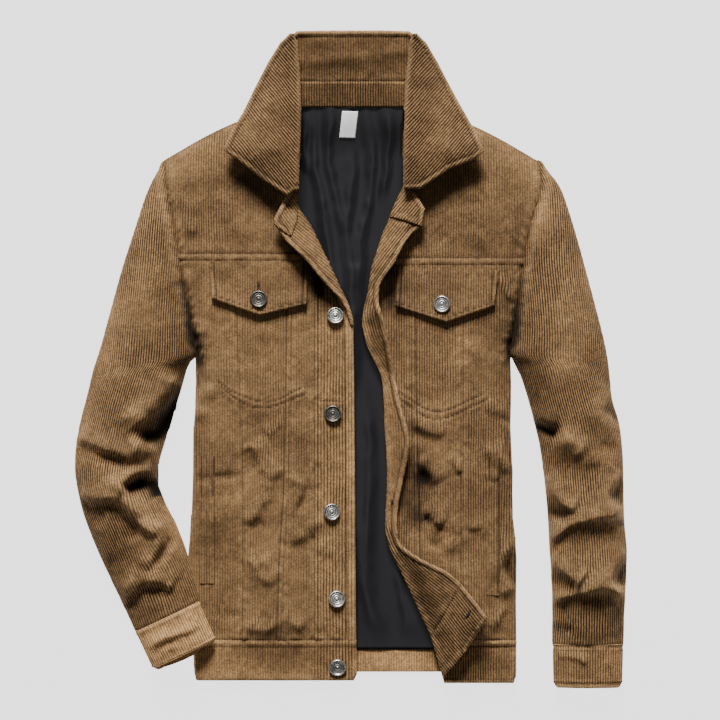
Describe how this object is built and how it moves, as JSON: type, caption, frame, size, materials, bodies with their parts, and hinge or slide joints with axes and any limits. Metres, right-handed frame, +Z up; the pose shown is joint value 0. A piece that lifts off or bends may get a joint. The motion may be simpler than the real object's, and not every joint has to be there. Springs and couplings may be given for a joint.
{
  "type": "corduroy jacket",
  "caption": "Corduroy jacket with a turn-down collar, flap chest pockets, side welt pockets, hem band and metal buttons, laid flat on its back and open down the front.",
  "frame": {"origin": "on the surface the jacket lies on, under the middle of its outline", "axes": "+Y from the hem to the collar, +X towards the wearer's left, +Z up out of the cloth"},
  "size_m": [0.6459, 0.7655, 0.044],
  "materials": {
    "corduroy": "eight-wale cotton corduroy, tan brown, soft cut pile",
    "lining": "smooth charcoal lining twill with a faint sheen",
    "label": "blank white woven label",
    "button_metal": "antiqued metal tack button, turned rings"
  },
  "bodies": {
    "root": {"back_panel": "corduroy", "back_yoke": "corduroy", "collar_fall": "corduroy", "collar_stand": "corduroy", "cuff_left": "corduroy", "cuff_right": "corduroy", "facing_left": "corduroy", "facing_right": "corduroy", "front_centre_left": "corduroy", "front_centre_right": "corduroy", "front_mid_left": "corduroy", "front_mid_right": "corduroy", "front_side_left": "corduroy", "front_side_right": "corduroy", "front_yoke_left": "corduroy", "front_yoke_right": "corduroy", "hem_band_back": "corduroy", "hem_band_left": "corduroy", "hem_band_right": "corduroy", "hem_corner_left": "corduroy", "placket_right": "corduroy", "pocket_flap_left": "corduroy", "pocket_flap_right": "corduroy", "pocket_welt_left": "corduroy", "pocket_welt_right": "corduroy", "sleeve_under_left": "corduroy", "sleeve_under_right": "corduroy", "sleeve_upper_left": "corduroy", "sleeve_upper_right": "corduroy", "stand_end_left": "corduroy", "stand_end_right": "corduroy", "button_1": "button_metal", "button_2": "button_metal", "button_3": "button_metal", "button_4": "button_metal", "button_5": "button_metal", "button_flap_left": "button_metal", "button_flap_right": "button_metal", "lining_back": "lining", "neck_label": "label"}
  },
  "joints": []
}
